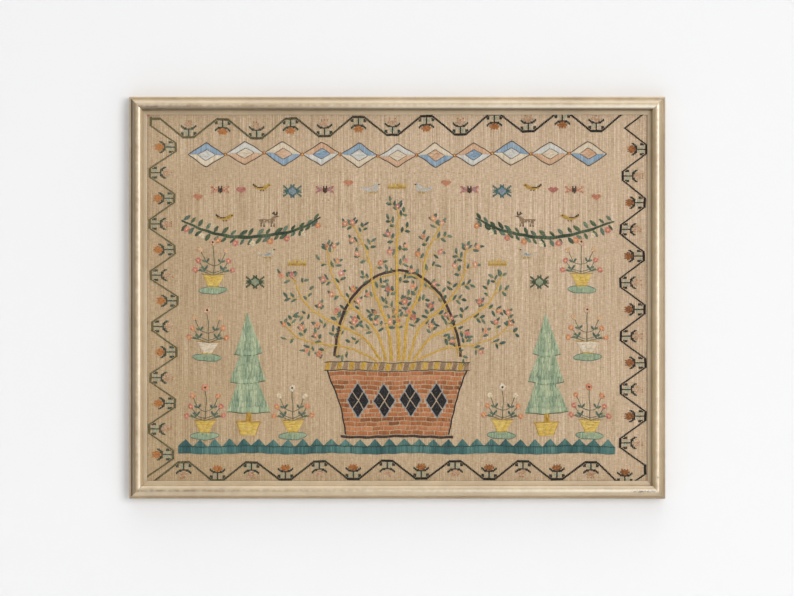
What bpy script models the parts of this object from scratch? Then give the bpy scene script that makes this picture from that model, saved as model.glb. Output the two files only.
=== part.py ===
"""A framed cross stitch sampler: a worked woollen ground held flat in a mitred gilt moulding.

Metres, +Z up, the face towards -Y. The origin is the middle of the top rail's back, where it meets the wall.
"""

import math

import bmesh
import bpy
from mathutils import Vector

MM = 0.001

# Driving dimensions of the whole
FRAME_WIDTH = 460 * MM
FRAME_HEIGHT = 345 * MM
PIECE_GAP = 0.3 * MM

# The moulding in section: inward is measured from its outer edge, height from the wall
FACE_WIDTH = 15.4 * MM
RIM_WIDTH = 1.6 * MM
RIM_HEIGHT = 12.2 * MM
RIM_ROUND = 0.6 * MM
QUIRK_WIDTH = 0.4 * MM
QUIRK_DEPTH = 0.25 * MM
SWELL_SAG = 0.25 * MM
BEAD_INWARD = 7.5 * MM
BEAD_HEIGHT = 12.4 * MM
BEAD_RADIUS = 5.0 * MM
BEAD_OUTER_DEG = 130
BEAD_INNER_DEG = 44
SCOOP_SAG = 0.2 * MM
SCOOP_FOOT_HEIGHT = 12.1 * MM
FILLET_INWARD = 12.0 * MM
FILLET_STEP = 0.2 * MM
FILLET_HEIGHT = 11.8 * MM
FILLET_FALL = 0.2 * MM
FILLET_ROUND = 0.5 * MM
REBATE_HEIGHT = 10.6 * MM
BACK_WIDTH = 9.0 * MM

# What the rebate holds
CLOTH_THICKNESS = 1.0 * MM
CLOTH_RISE = 0.9 * MM
CLOTH_COLUMNS = 30
CLOTH_ROWS = 23
BOARD_THICKNESS = 4.0 * MM
BOARD_CHAMFER = 0.6 * MM

# Cockles of the ground: where each lies and reaches, in shares of the cloth, and its share of the rise
COCKLES = [
    # across, up, reach_across, reach_up, share
    (0.20, 0.30, 0.16, 0.22, 0.55),
    (0.46, 0.66, 0.13, 0.20, 0.80),
    (0.55, 0.22, 0.20, 0.12, 0.60),
    (0.78, 0.58, 0.15, 0.26, 1.00),
    (0.26, 0.80, 0.18, 0.12, 0.70),
    (0.86, 0.20, 0.10, 0.14, 0.65),
]

SMOOTH_ANGLE = math.radians(30)


def clear_scene():
    for old in list(bpy.data.objects):
        bpy.data.objects.remove(old, do_unlink=True)


def make_material(name, colour, roughness, metallic):
    material = bpy.data.materials.new(name)
    material.use_nodes = True
    shader = material.node_tree.nodes["Principled BSDF"]
    shader.inputs["Base Color"].default_value = (*colour, 1.0)
    shader.inputs["Roughness"].default_value = roughness
    shader.inputs["Metallic"].default_value = metallic
    return material


def add_object(bm, name, place, material):
    """The finished mesh as an object of its own, its normals outward and its round parts smooth."""
    bmesh.ops.recalc_face_normals(bm, faces=bm.faces)
    mesh = bpy.data.meshes.new(name)
    bm.to_mesh(mesh)
    bm.free()
    mesh.shade_smooth()
    mesh.set_sharp_from_angle(angle=SMOOTH_ANGLE)
    mesh.materials.append(material)
    obj = bpy.data.objects.new(name, mesh)
    obj.location = place
    bpy.context.scene.collection.objects.link(obj)
    return obj


def arc(middle, radius, start_deg, end_deg, steps):
    """Points of the section round a circle, from one angle to the other, both ends included."""
    points = []
    for step in range(steps + 1):
        angle = math.radians(start_deg + (end_deg - start_deg) * step / steps)
        inward = middle[0] + radius * math.cos(angle)
        height = middle[1] + radius * math.sin(angle)
        points.append((inward, height))
    return points


def bowed(start, end, sag, steps):
    """Points of the section between two ends, bowed out to the left of the way, the ends left out."""
    way = Vector(end) - Vector(start)
    left = Vector((-way.y, way.x)).normalized()
    points = []
    for step in range(1, steps):
        share = step / steps
        point = Vector(start) + way * share + left * sag * 4 * share * (1 - share)
        points.append((point.x, point.y))
    return points


def moulding_section():
    """The moulding's outline as (inward, height): rim, quirk, swell, bead, scoop, low fillet and rebate."""
    bead_middle = (BEAD_INWARD, BEAD_HEIGHT)
    bead = arc(bead_middle, BEAD_RADIUS, BEAD_OUTER_DEG, BEAD_INNER_DEG, 8)
    swell_foot = (RIM_WIDTH + QUIRK_WIDTH, RIM_HEIGHT - QUIRK_DEPTH / 2)
    scoop_foot = (FILLET_INWARD, SCOOP_FOOT_HEIGHT)
    fillet_turn = (FACE_WIDTH - FILLET_ROUND, FILLET_HEIGHT - FILLET_FALL - FILLET_ROUND)

    outline = [(0.0, 0.0)]
    outline += arc((RIM_ROUND, RIM_HEIGHT - RIM_ROUND), RIM_ROUND, 180, 90, 4)
    outline += [(RIM_WIDTH, RIM_HEIGHT)]
    outline += [(RIM_WIDTH + QUIRK_WIDTH / 2, RIM_HEIGHT - QUIRK_DEPTH)]
    outline += [swell_foot] + bowed(swell_foot, bead[0], SWELL_SAG, 6)
    outline += bead
    outline += bowed(bead[-1], scoop_foot, -SCOOP_SAG, 5) + [scoop_foot]
    outline += [(FILLET_INWARD + FILLET_STEP, FILLET_HEIGHT)]
    outline += arc(fillet_turn, FILLET_ROUND, 90, 0, 3)
    outline += [(FACE_WIDTH, REBATE_HEIGHT), (BACK_WIDTH, REBATE_HEIGHT), (BACK_WIDTH, 0.0)]
    return outline


def make_rail(name, length, place, turn_deg, material):
    """A length of moulding run from mitre to mitre, its outer edge on its own Z = 0 and then turned to its side."""
    mitre_setback = PIECE_GAP / math.sqrt(2)
    bm = bmesh.new()
    ring = []
    for inward, height in moulding_section():
        half = length / 2 - inward - mitre_setback
        ring.append(bm.verts.new((-half, -height, -inward)))
    section = bm.faces.new(ring)
    grown = bmesh.ops.extrude_face_region(bm, geom=[section], use_keep_orig=True)
    for item in grown["geom"]:
        if isinstance(item, bmesh.types.BMVert):
            item.co.x = -item.co.x
    rail = add_object(bm, name, place, material)
    rail.rotation_euler.y = math.radians(turn_deg)


def cockle_rise(across, up):
    """How far the cloth stands off its board at a place given in shares of its width and height."""
    rise = 0.0
    for cockle_across, cockle_up, reach_across, reach_up, share in COCKLES:
        aside = (across - cockle_across) / reach_across
        above = (up - cockle_up) / reach_up
        rise += share * math.exp(-(aside**2) - above**2)
    from_rim = math.sin(math.pi * across) * math.sin(math.pi * up)
    return CLOTH_RISE * rise * min(1.0, 2.2 * from_rim**1.5)


def make_cloth(width, height, middle, back_height, material):
    """The worked ground as one thin sheet, flat under the lip and slightly cockled inside it."""
    bm = bmesh.new()
    bmesh.ops.create_grid(bm, x_segments=CLOTH_COLUMNS, y_segments=CLOTH_ROWS, size=0.5)
    for vert in bm.verts:
        across, up = vert.co.x + 0.5, vert.co.y + 0.5
        stand_off = back_height + cockle_rise(across, up)
        vert.co = Vector((vert.co.x * width, -stand_off, vert.co.y * height))
    grown = bmesh.ops.extrude_face_region(bm, geom=list(bm.faces), use_keep_orig=True)
    front = [item for item in grown["geom"] if isinstance(item, bmesh.types.BMVert)]
    bmesh.ops.translate(bm, vec=Vector((0, -CLOTH_THICKNESS, 0)), verts=front)
    add_object(bm, "sampler_cloth", middle, material)


def make_board(width, height, middle, back_height, material):
    """The stiff board that keeps the cloth flat, its edges eased."""
    bm = bmesh.new()
    bmesh.ops.create_cube(bm, size=1.0)
    bmesh.ops.scale(bm, vec=Vector((width, BOARD_THICKNESS, height)), verts=bm.verts)
    edges = list(bm.edges)
    bmesh.ops.bevel(
        bm, geom=edges, offset=BOARD_CHAMFER, segments=1, profile=0.5, affect="EDGES", material=-1
    )
    place = middle - Vector((0, back_height + BOARD_THICKNESS / 2, 0))
    add_object(bm, "backing_board", place, material)


def make_sampler():
    clear_scene()
    gilt = make_material("champagne_gilt", (0.60, 0.47, 0.30), 0.34, 0.75)
    wool = make_material("fawn_wool", (0.42, 0.32, 0.21), 0.9, 0.0)
    pulp = make_material("grey_board", (0.46, 0.40, 0.32), 0.85, 0.0)

    middle = Vector((0, 0, (BACK_WIDTH - FRAME_HEIGHT) / 2))
    to_side = Vector((FRAME_WIDTH / 2, 0, 0))
    to_top = Vector((0, 0, FRAME_HEIGHT / 2))
    make_rail("rail_top", FRAME_WIDTH, middle + to_top, 0, gilt)
    make_rail("rail_right", FRAME_HEIGHT, middle + to_side, 90, gilt)
    make_rail("rail_bottom", FRAME_WIDTH, middle - to_top, 180, gilt)
    make_rail("rail_left", FRAME_HEIGHT, middle - to_side, 270, gilt)

    held_width = FRAME_WIDTH - 2 * (BACK_WIDTH + PIECE_GAP)
    held_height = FRAME_HEIGHT - 2 * (BACK_WIDTH + PIECE_GAP)
    cloth_back = REBATE_HEIGHT - PIECE_GAP - CLOTH_THICKNESS
    board_back = cloth_back - PIECE_GAP - BOARD_THICKNESS
    make_cloth(held_width, held_height, middle, cloth_back, wool)
    make_board(held_width, held_height, middle, board_back, pulp)


make_sampler()
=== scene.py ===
"""The looks of a framed cross stitch sampler: gilt moulding, streaked wool ground and every thread on it."""

import math

import bmesh
import bpy
import numpy as np
from mathutils import Matrix, Vector, noise


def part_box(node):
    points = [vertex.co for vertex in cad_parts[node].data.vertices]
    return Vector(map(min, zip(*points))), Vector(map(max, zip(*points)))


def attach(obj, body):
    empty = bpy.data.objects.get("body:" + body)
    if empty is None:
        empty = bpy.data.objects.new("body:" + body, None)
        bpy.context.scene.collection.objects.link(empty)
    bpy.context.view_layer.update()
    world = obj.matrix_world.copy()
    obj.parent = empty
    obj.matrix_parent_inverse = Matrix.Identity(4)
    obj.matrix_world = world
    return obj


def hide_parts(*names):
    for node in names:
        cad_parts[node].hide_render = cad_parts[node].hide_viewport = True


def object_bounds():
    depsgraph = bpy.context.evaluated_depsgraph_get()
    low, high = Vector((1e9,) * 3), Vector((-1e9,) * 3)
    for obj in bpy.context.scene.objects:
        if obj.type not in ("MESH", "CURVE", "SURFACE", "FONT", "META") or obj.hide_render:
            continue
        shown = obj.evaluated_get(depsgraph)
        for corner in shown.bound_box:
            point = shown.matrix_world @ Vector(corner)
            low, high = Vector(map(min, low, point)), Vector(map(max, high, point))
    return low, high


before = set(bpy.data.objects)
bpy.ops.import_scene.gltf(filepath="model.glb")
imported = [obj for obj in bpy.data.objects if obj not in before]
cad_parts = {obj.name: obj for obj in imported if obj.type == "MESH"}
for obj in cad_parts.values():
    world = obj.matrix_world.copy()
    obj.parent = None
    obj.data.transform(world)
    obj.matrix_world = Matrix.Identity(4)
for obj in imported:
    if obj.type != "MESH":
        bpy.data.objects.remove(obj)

MM = 0.001
chance = np.random.default_rng(41)

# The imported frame, measured in millimetres
cad_low, cad_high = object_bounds()
MIDDLE = Vector(((cad_low.x + cad_high.x) / 2, 0.0, (cad_low.z + cad_high.z) / 2))
FRAME_WIDTH = (cad_high.x - cad_low.x) / MM
FRAME_HEIGHT = (cad_high.z - cad_low.z) / MM
cloth_low, cloth_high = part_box("sampler_cloth")
HELD_WIDTH = (cloth_high.x - cloth_low.x) / MM
HELD_HEIGHT = (cloth_high.z - cloth_low.z) / MM
CLOTH_BACK = -cloth_high.y / MM

# The moulding in section, as it is in the solid: inward from the outer edge, height from the wall
FACE_WIDTH = 15.4
RIM_WIDTH = 1.6
RIM_HEIGHT = 12.2
RIM_ROUND = 0.6
QUIRK_WIDTH = 0.4
QUIRK_DEPTH = 0.25
SWELL_SAG = 0.25
BEAD_INWARD = 7.5
BEAD_HEIGHT = 12.4
BEAD_RADIUS = 5.0
BEAD_OUTER_DEG = 130
BEAD_INNER_DEG = 44
SCOOP_SAG = 0.2
SCOOP_FOOT_HEIGHT = 12.1
FILLET_INWARD = 12.0
FILLET_STEP = 0.2
FILLET_HEIGHT = 11.8
FILLET_FALL = 0.2
FILLET_ROUND = 0.5
REBATE_HEIGHT = 10.6
BACK_WIDTH = 9.0
SIGHT_WIDTH = FRAME_WIDTH - 2 * FACE_WIDTH
SIGHT_HEIGHT = FRAME_HEIGHT - 2 * FACE_WIDTH

# The ground and its threads
GROUND_THICKNESS = 0.6
CLOTH_RISE = 0.9
STITCH_WIDE = 1.226
STITCH_HIGH = 0.918
THREAD_WIDTH = 0.52
SATIN_PITCH = 0.62

# Cockles of the ground: where each lies and reaches, in shares of the cloth, and its share of the rise
COCKLES = [
    # across, up, reach_across, reach_up, share
    (0.20, 0.30, 0.16, 0.22, 0.55),
    (0.46, 0.66, 0.13, 0.20, 0.80),
    (0.55, 0.22, 0.20, 0.12, 0.60),
    (0.78, 0.58, 0.15, 0.26, 1.00),
    (0.26, 0.80, 0.18, 0.12, 0.70),
    (0.86, 0.20, 0.10, 0.14, 0.65),
]

# The skeins: shadow, body and light of each silk, as a screen shows them
SILKS = {
    # skein: (shadow, body, light)
    "vine": ((13, 10, 5), (44, 39, 24), (122, 114, 76)),
    "stalk": ((20, 30, 24), (46, 62, 50), (94, 108, 84)),
    "orange": ((130, 80, 38), (192, 119, 57), (216, 149, 86)),
    "faded_pink": ((188, 138, 100), (214, 172, 135), (234, 205, 175)),
    "sage": ((144, 156, 130), (180, 188, 160), (206, 208, 182)),
    "terracotta": ((142, 86, 46), (190, 118, 70), (214, 152, 108)),
    "jet": ((14, 12, 12), (30, 27, 28), (58, 54, 52)),
    "mortar": ((172, 150, 122), (212, 190, 160), (230, 212, 186)),
    "umber": ((36, 24, 20), (60, 44, 36), (100, 76, 60)),
    "fawn": ((124, 98, 70), (160, 132, 100), (188, 162, 130)),
    "gold": ((156, 116, 40), (206, 164, 66), (230, 196, 110)),
    "yellow": ((190, 148, 50), (224, 190, 92), (240, 218, 146)),
    "teal_leaf": ((52, 76, 66), (88, 110, 92), (130, 146, 118)),
    "coral": ((182, 100, 68), (214, 142, 104), (232, 176, 146)),
    "rose": ((162, 86, 78), (206, 124, 112), (226, 164, 150)),
    "sea_green": ((122, 146, 120), (166, 182, 148), (202, 208, 172)),
    "teal": ((42, 82, 82), (72, 115, 111), (112, 149, 137)),
    "forest": ((36, 54, 40), (66, 86, 60), (108, 122, 90)),
    "sky": ((92, 126, 158), (140, 166, 186), (188, 200, 206)),
    "white": ((176, 176, 172), (216, 212, 202), (236, 232, 222)),
    "ivory": ((192, 172, 142), (226, 208, 180), (240, 228, 206)),
}

WHITE = (255, 255, 255)


def plain(colour):
    """A colour as a screen shows it, turned into light."""
    shares = [part / 255 for part in colour]
    lights = [s / 12.92 if s <= 0.04045 else ((s + 0.055) / 1.055) ** 2.4 for s in shares]
    return (*lights, 1.0)


# Objects and meshes


def add_object(name, data):
    obj = bpy.data.objects.new(name, data)
    bpy.context.scene.collection.objects.link(obj)
    return obj


def add_piece(mesh, name, material):
    """A finished mesh as a piece that rides with the frame."""
    mesh.materials.append(material)
    piece = add_object(name, mesh)
    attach(piece, "root")
    return piece


def as_mesh(bm, name, sharp_deg=0):
    """A finished bmesh as a mesh. Where an angle is given, it is smooth but for its edges past that."""
    mesh = bpy.data.meshes.new(name)
    bm.to_mesh(mesh)
    bm.free()
    if sharp_deg:
        mesh.shade_smooth()
        mesh.set_sharp_from_angle(angle=math.radians(sharp_deg))
    return mesh


def pull_copy(bm, faces):
    """Walls and a copy pulled out of faces that stay: gives the copy's vertices, which are moved next."""
    grown = bmesh.ops.extrude_face_region(bm, geom=faces, use_keep_orig=True)
    return [item for item in grown["geom"] if isinstance(item, bmesh.types.BMVert)]


# Node tools


def new_tree(name):
    """An empty material with its Principled shader: gives the material, its node tree and the shader."""
    material = bpy.data.materials.new(name)
    material.use_nodes = True
    tree = material.node_tree
    tree.nodes.clear()
    out = tree.nodes.new("ShaderNodeOutputMaterial")
    shader = tree.nodes.new("ShaderNodeBsdfPrincipled")
    tree.links.new(shader.outputs["BSDF"], out.inputs["Surface"])
    return material, tree, shader


def feed(tree, node, inputs):
    """Feeds a node's inputs by name or number, each with a value or from another node's socket."""
    for key, value in inputs.items():
        index = int(key[1:]) if key[0] == "i" and key[1:].isdigit() else key.replace("_", " ")
        if isinstance(value, bpy.types.NodeSocket):
            tree.links.new(value, node.inputs[index])
        else:
            node.inputs[index].default_value = value


def add_node(tree, kind, settings=(), **inputs):
    """A node with its settings and inputs."""
    node = tree.nodes.new(kind)
    for setting, value in dict(settings).items():
        setattr(node, setting, value)
    feed(tree, node, inputs)
    return node


def set_shader(tree, shader, **inputs):
    """The shader's inputs: plain values stay on its own sockets, and what varies is linked."""
    feed(tree, shader, inputs)


def maths(tree, operation, first, second=0.0, third=0.0, clamp=False):
    settings = {"operation": operation, "use_clamp": clamp}
    node = add_node(tree, "ShaderNodeMath", settings, i0=first, i1=second, i2=third)
    return node.outputs[0]


def mixed(tree, blend, factor, first, second):
    """Two colours blended. The second may be a colour as a screen shows it."""
    other = plain(second) if isinstance(second, tuple) else second
    settings = {"data_type": "RGBA", "blend_type": blend}
    return add_node(tree, "ShaderNodeMix", settings, i0=factor, i6=first, i7=other).outputs[2]


def laid_over(tree, under, colour, mask, share=1.0):
    """A colour laid over another where a mask lets it, at a share of its full strength."""
    return mixed(tree, "MIX", maths(tree, "MULTIPLY", mask, share), under, colour)


def ramp(tree, factor, stops):
    """A ramp through colours as a screen shows them."""
    node = tree.nodes.new("ShaderNodeValToRGB")
    tree.links.new(factor, node.inputs["Fac"])
    row = node.color_ramp.elements
    while len(row) < len(stops):
        row.new(0.5)
    for element, (place, colour) in zip(row, stops):
        element.position = place
        element.color = plain(colour)
    return node.outputs["Color"]


def grain(tree, vector, scale, detail=2.0, stretch=(1, 1, 1), shift=(0, 0, 0), roughness=0.5):
    """Noise on stretched coordinates, from 0 to 1."""
    mapping = add_node(
        tree, "ShaderNodeMapping", Vector=vector, Location=Vector(shift), Scale=Vector(stretch)
    )
    node = add_node(
        tree,
        "ShaderNodeTexNoise",
        {"noise_dimensions": "3D"},
        Vector=mapping.outputs["Vector"],
        Scale=scale,
        Detail=detail,
        Roughness=roughness,
    )
    return node.outputs[0]


def between(tree, value, low, high):
    """A value spread from a range of its own to 0 to 1, and held there."""
    node = add_node(tree, "ShaderNodeMapRange", {"clamp": True}, i0=value, i1=low, i2=high)
    return node.outputs["Result"]


def bumped(tree, height, depth, strength):
    bump = add_node(tree, "ShaderNodeBump", Height=height, Distance=depth, Strength=strength)
    return bump.outputs["Normal"]


def split(tree, vector):
    return add_node(tree, "ShaderNodeSeparateXYZ", Vector=vector).outputs


def object_place(tree):
    return add_node(tree, "ShaderNodeTexCoord").outputs["Object"]


def attribute(tree, name):
    return add_node(tree, "ShaderNodeAttribute", {"attribute_name": name}).outputs["Fac"]


# Effects that several materials share, as node groups


def new_group(name, inputs, outputs):
    """A shader node group: gives the group, the sockets of its inputs by name, and its output node."""
    group = bpy.data.node_groups.new(name, "ShaderNodeTree")
    for label, value in inputs.items():
        kind = "NodeSocketFloat" if isinstance(value, float) else "NodeSocketVector"
        socket = group.interface.new_socket(name=label, in_out="INPUT", socket_type=kind)
        socket.default_value = value
    for label in outputs:
        group.interface.new_socket(name=label, in_out="OUTPUT", socket_type="NodeSocketFloat")
    return group, group.nodes.new("NodeGroupInput").outputs, group.nodes.new("NodeGroupOutput")


def use_group(tree, group, **inputs):
    return add_node(tree, "ShaderNodeGroup", {"node_tree": group}, **inputs)


def make_weave_group():
    """Plain weave: a height for the bump, the uneven warp's streaks, the weft's slubs and the gaps."""
    inputs = {"Place": (0, 0, 0), "Warp Count": 2200.0, "Weft Count": 1800.0}
    group, ins, outs = new_group("plain_weave", inputs, ("Height", "Streak", "Slub", "Gap"))
    axes = split(group, ins["Place"])
    wander = grain(group, ins["Place"], 260.0, 2.0)
    drift = maths(group, "MULTIPLY", wander, 2.4)
    warp = maths(group, "MULTIPLY_ADD", axes["X"], ins["Warp Count"], drift)
    weft = maths(group, "MULTIPLY_ADD", axes["Z"], ins["Weft Count"], drift)
    waves = [maths(group, "SINE", maths(group, "MULTIPLY", count, math.pi)) for count in (warp, weft)]
    crown = maths(group, "ABSOLUTE", maths(group, "MULTIPLY", *waves))
    fuzz = grain(group, ins["Place"], 4200.0, 2.0)
    height = maths(group, "MULTIPLY_ADD", fuzz, 0.8, crown)
    gap = between(group, maths(group, "MULTIPLY_ADD", fuzz, 0.5, crown), 0.55, 0.2)
    long = grain(group, ins["Place"], 1.0, 1.0, stretch=(1700, 500, 16), roughness=0.6)
    short = grain(group, ins["Place"], 1.0, 2.0, stretch=(1400, 400, 230), shift=(3, 1, 2))
    streak = maths(group, "MULTIPLY_ADD", long, 0.6, maths(group, "MULTIPLY", short, 0.4))
    slub = grain(group, ins["Place"], 1.0, 2.0, stretch=(240, 200, 1700), shift=(7, 0, 1))
    feed(group, outs, {"Height": height, "Streak": streak, "Slub": slub, "Gap": gap})
    return group


def make_ageing_group():
    """What the years leave on any surface: broad fading and small grime, each as a mask."""
    inputs = {"Place": (0, 0, 0), "Patch Scale": 12.0}
    group, ins, outs = new_group("ageing", inputs, ("Fade", "Grime"))
    patch = grain(group, ins["Place"], ins["Patch Scale"], 4.0, roughness=0.55)
    finer = maths(group, "MULTIPLY", ins["Patch Scale"], 5.5)
    speck = grain(group, ins["Place"], finer, 5.0, shift=(5, 3, 8), roughness=0.65)
    feed(group, outs, {"Fade": between(group, patch, 0.3, 0.7), "Grime": between(group, speck, 0.55, 0.75)})
    return group


def make_strand_group():
    """A silk thread's fibres and twist. It reads millimetres along the stitch and across it."""
    group, ins, outs = new_group("silk_strand", {"Along": (0, 0, 0), "Twist": 1.2}, ("Height", "Hollow"))
    axes = split(group, ins["Along"])
    lean = maths(group, "MULTIPLY", axes["X"], ins["Twist"])
    phase = maths(group, "MULTIPLY_ADD", axes["Y"], 5.5, lean)
    ply = maths(group, "SINE", maths(group, "MULTIPLY", phase, 2 * math.pi))
    fibres = grain(group, ins["Along"], 1.0, 3.0, stretch=(1.6, 26, 1))
    height = maths(group, "MULTIPLY_ADD", ply, 0.25, fibres)
    feed(group, outs, {"Height": height, "Hollow": between(group, height, 0.15, 0.6)})
    return group


def make_blot_group():
    """One blot at a place: soft, ragged at its rim, as long and high as it is told."""
    inputs = {"Place": (0, 0, 0), "Middle": (0, 0, 0), "Reach": (0.004, 0.02, 0.002)}
    group, ins, outs = new_group("blot", inputs, ("Mask",))
    vector = "ShaderNodeVectorMath"
    away = add_node(group, vector, {"operation": "SUBTRACT"}, i0=ins["Place"], i1=ins["Middle"])
    share = add_node(group, vector, {"operation": "DIVIDE"}, i0=away.outputs[0], i1=ins["Reach"])
    far = add_node(group, vector, {"operation": "LENGTH"}, i0=share.outputs[0])
    rag = grain(group, ins["Place"], 900.0, 3.0)
    edge = maths(group, "MULTIPLY_ADD", rag, 1.1, far.outputs["Value"])
    feed(group, outs, {"Mask": between(group, edge, 1.55, 0.95)})
    return group


WEAVE = make_weave_group()
AGEING = make_ageing_group()
STRAND = make_strand_group()
BLOT = make_blot_group()
BLOT_DEEP = 8.0


def blot(tree, place, across, up, height, long, high):
    """One blot's mask: where it is in the frame, and its reach along and up, all in millimetres."""
    middle = Vector((MIDDLE.x + across * MM, -height * MM, MIDDLE.z + up * MM))
    reach = Vector((long * MM, BLOT_DEEP * MM, high * MM))
    return use_group(tree, BLOT, Place=place, Middle=middle, Reach=reach).outputs["Mask"]


# Materials


def make_gilt_material():
    """Champagne gilding over wood, rubbed on its ridges and with its marks, with painted shade and painted
    highlight in bands.
    """
    material, tree, shader = new_tree("champagne_gilt")
    place = object_place(tree)
    age = use_group(tree, AGEING, Place=place, Patch_Scale=16.0)
    ridge, hollow, painted_highlight = [attribute(tree, name) for name in ("ridge", "hollow", "painted_highlight")]

    leaf_tones = [(0.0, (178, 150, 108)), (0.5, (190, 164, 121)), (1.0, (202, 177, 137))]
    leaf = ramp(tree, age.outputs["Fade"], leaf_tones)
    strokes = ramp(tree, grain(tree, place, 130.0, 4.0, shift=(1, 4, 2)), [(0.3, (205, 198, 188)), (0.7, WHITE)])
    brushed = mixed(tree, "MULTIPLY", 0.3, leaf, strokes)
    # Painted shade, laid on as dark brown: in bands along the rails and on the low fillet, and a little on the
    # back and sides, whose gilding is duller
    shaded_and_dulled = laid_over(tree, brushed, (66, 48, 27), hollow, 0.9)
    rub = maths(tree, "MULTIPLY", ridge, between(tree, grain(tree, place, 220.0, 4.0), 0.4, 0.75))
    rubbed = laid_over(tree, shaded_and_dulled, (238, 226, 204), rub, 0.5)
    # Painted highlight, laid on as pale leaf in bands along the top and bottom rails
    bright = laid_over(tree, rubbed, (252, 244, 224), painted_highlight, 0.85)
    grimy = laid_over(tree, bright, (120, 98, 70), age.outputs["Grime"], 0.25)
    marks = 0.0
    for across, up, long, high, share in MOULDING_MARKS:
        mark = maths(tree, "MULTIPLY", blot(tree, place, across, up, BEAD_HEIGHT, long, high), share)
        marks = maths(tree, "MAXIMUM", marks, mark)
    marked = laid_over(tree, grimy, (74, 58, 38), marks)

    rough = maths(tree, "MULTIPLY_ADD", age.outputs["Fade"], -0.06, 0.45)
    rough = maths(tree, "MULTIPLY_ADD", hollow, 0.35, rough)
    shade_dull_and_marks = maths(tree, "MAXIMUM", hollow, marks)
    set_shader(
        tree,
        shader,
        Base_Color=marked,
        Roughness=maths(tree, "MULTIPLY_ADD", marks, 0.3, rough, clamp=True),
        Metallic=maths(tree, "MULTIPLY_ADD", marks, -0.2, 0.2, clamp=True),
        Specular_IOR_Level=0.5,
        Coat_Weight=maths(tree, "MULTIPLY_ADD", shade_dull_and_marks, -0.7, 1.0, clamp=True),
        Coat_IOR=2.1,
        Coat_Roughness=0.3,
        Normal=bumped(tree, grain(tree, place, 240.0, 4.0), 0.00008, 0.3),
    )
    return material


def make_ground_material():
    """Fawn wool: threads dyed unevenly, paler up and to the right, with painted shade in the gaps between
    threads, soft stains and an orange spot.
    """
    material, tree, shader = new_tree("fawn_wool")
    place = object_place(tree)
    weave = use_group(tree, WEAVE, Place=place).outputs
    age = use_group(tree, AGEING, Place=place, Patch_Scale=7.0).outputs
    dark_warp = [(0.36, (194, 169, 138)), (0.465, (219, 194, 163))]
    light_warp = [(0.535, (229, 204, 175)), (0.64, (250, 229, 204))]
    threads = ramp(tree, weave["Streak"], dark_warp + light_warp)
    pink = between(tree, grain(tree, place, 1.0, 2.0, stretch=(1000, 300, 16), shift=(11, 2, 5)), 0.5, 0.68)
    pinked = laid_over(tree, threads, (223, 184, 160), pink, 0.25)
    weft = ramp(tree, weave["Slub"], [(0.36, (230, 225, 218)), (0.62, WHITE)])
    slubbed = mixed(tree, "MULTIPLY", 0.9, pinked, weft)
    # Painted shade in the gaps between the threads, laid on as brown
    gap_shaded = laid_over(tree, slubbed, (122, 98, 72), weave["Gap"], 0.5)
    fade_tones = [(0.0, (230, 224, 216)), (0.5, (248, 245, 241)), (1.0, (255, 252, 250))]
    faded = mixed(tree, "MULTIPLY", 0.5, gap_shaded, ramp(tree, age["Fade"], fade_tones))

    axes = split(tree, place)
    # Paler up and to the right
    rightward = maths(tree, "MULTIPLY_ADD", axes["X"], 0.6 / (HELD_WIDTH * MM), 0.5)
    upward = maths(tree, "SUBTRACT", axes["Z"], MIDDLE.z)
    up_right_share = maths(tree, "MULTIPLY_ADD", upward, 0.4 / (HELD_HEIGHT * MM), rightward)
    up_right_tones = [(0.12, (233, 230, 216)), (0.78, WHITE)]
    paler_up_right = mixed(tree, "MULTIPLY", 1.0, faded, ramp(tree, up_right_share, up_right_tones))
    stained = laid_over(tree, paler_up_right, (126, 98, 62), age["Grime"], 0.16)
    spot_across, spot_up, spot_reach = ORANGE_SPOT
    spot = blot(tree, place, spot_across, spot_up, CLOTH_BACK, spot_reach, spot_reach)
    set_shader(
        tree,
        shader,
        Base_Color=laid_over(tree, stained, (190, 96, 58), spot, 0.8),
        Roughness=0.88,
        Sheen_Weight=0.12,
        Sheen_Roughness=0.5,
        Specular_IOR_Level=0.2,
        Normal=bumped(tree, weave["Height"], 0.00022, 0.8),
    )
    return material


def make_silk_material(name, shadow, body, light):
    """One skein of silk: each stitch takes its own tone, its fibres and twist break up the sheen, and painted
    shade darkens the grooves of its twist.
    """
    material, tree, shader = new_tree(name + "_silk")
    along = add_node(tree, "ShaderNodeUVMap", {"uv_map": "Along"}).outputs["UV"]
    strand = use_group(tree, STRAND, Along=along).outputs
    age = use_group(tree, AGEING, Place=object_place(tree), Patch_Scale=22.0).outputs
    faded = maths(tree, "MULTIPLY_ADD", age["Fade"], 0.14, attribute(tree, "tone"))
    dyed = ramp(tree, faded, [(0.05, shadow), (0.5, body), (1.0, light)])
    # Painted shade: the grooves of the twist darken the dye
    depth = maths(tree, "MULTIPLY", maths(tree, "SUBTRACT", 1.0, strand["Hollow"]), 0.45)
    set_shader(
        tree,
        shader,
        Base_Color=mixed(tree, "MULTIPLY", depth, dyed, (150, 140, 130)),
        Roughness=maths(tree, "MULTIPLY_ADD", strand["Hollow"], -0.12, 0.62),
        Specular_IOR_Level=0.35,
        Sheen_Weight=0.1,
        Sheen_Roughness=0.4,
        Normal=bumped(tree, strand["Height"], 0.00006, 0.5),
    )
    return material


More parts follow.
